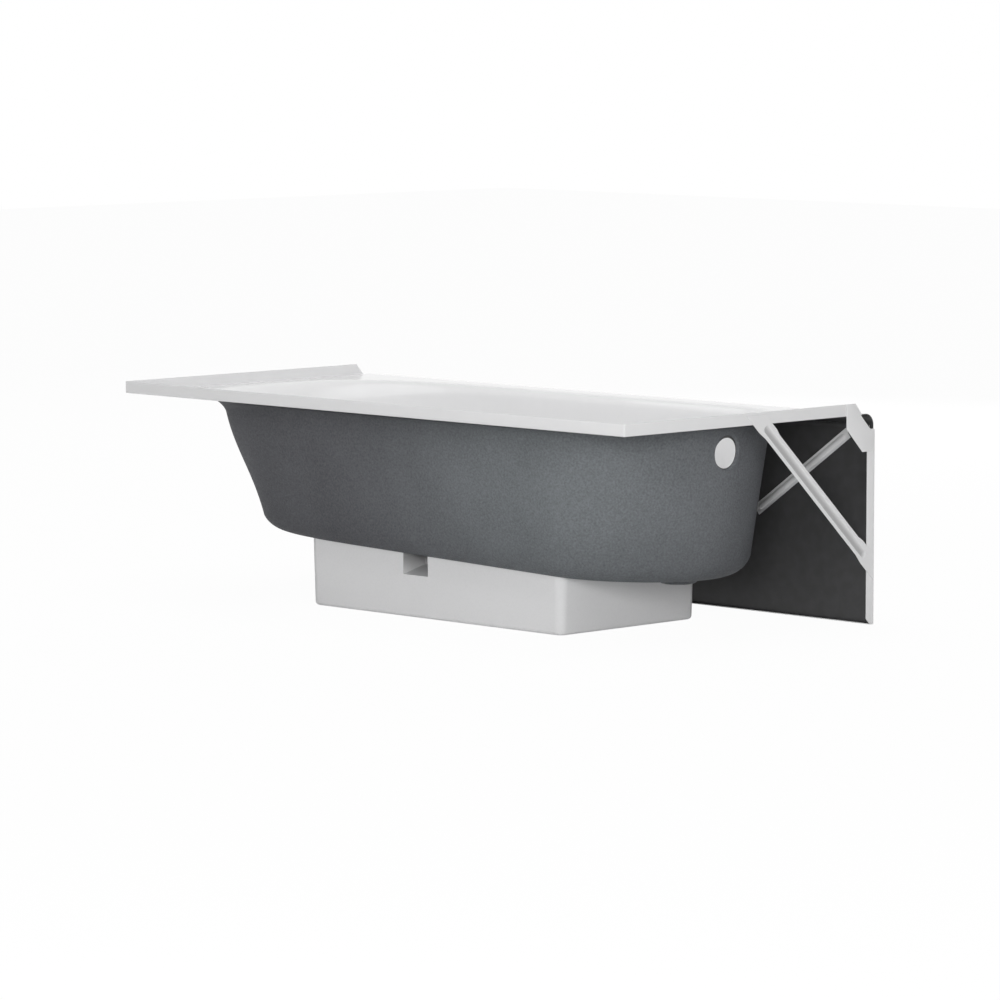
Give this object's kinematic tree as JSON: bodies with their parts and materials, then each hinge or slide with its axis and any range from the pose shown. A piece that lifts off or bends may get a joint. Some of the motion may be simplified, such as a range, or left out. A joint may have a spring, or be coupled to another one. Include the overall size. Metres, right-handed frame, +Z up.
{
  "type": "apron bathtub",
  "caption": "Recessed steel bathtub with an apron front, a tile flange on the back and ends, a composite-backed well and a foam block under its floor.",
  "frame": {"origin": "on the floor, under the middle of the footprint", "axes": "+X along the length towards the head end, -X towards the drain, -Y towards the apron front, +Y towards the back wall, +Z up"},
  "size_m": [1.5276, 0.762, 0.4703],
  "materials": {
    "enamelled_steel": "gloss white enamel on drawn steel, dark ground coat on the faces that a wall or floor hides",
    "composite": "sprayed grey composite with a fine grain",
    "foam": "white moulded bead foam"
  },
  "bodies": {
    "root": {"bath_pressing": "enamelled_steel", "composite_backing": "composite", "apron_panel": "enamelled_steel", "foam_block": "foam", "corner_plate_drain_end": "enamelled_steel", "corner_plate_head_end": "enamelled_steel", "end_brace_drain_end": "enamelled_steel", "end_brace_head_end": "enamelled_steel", "apron_stiffener_drain_end": "enamelled_steel", "apron_stiffener_head_end": "enamelled_steel"}
  },
  "joints": []
}
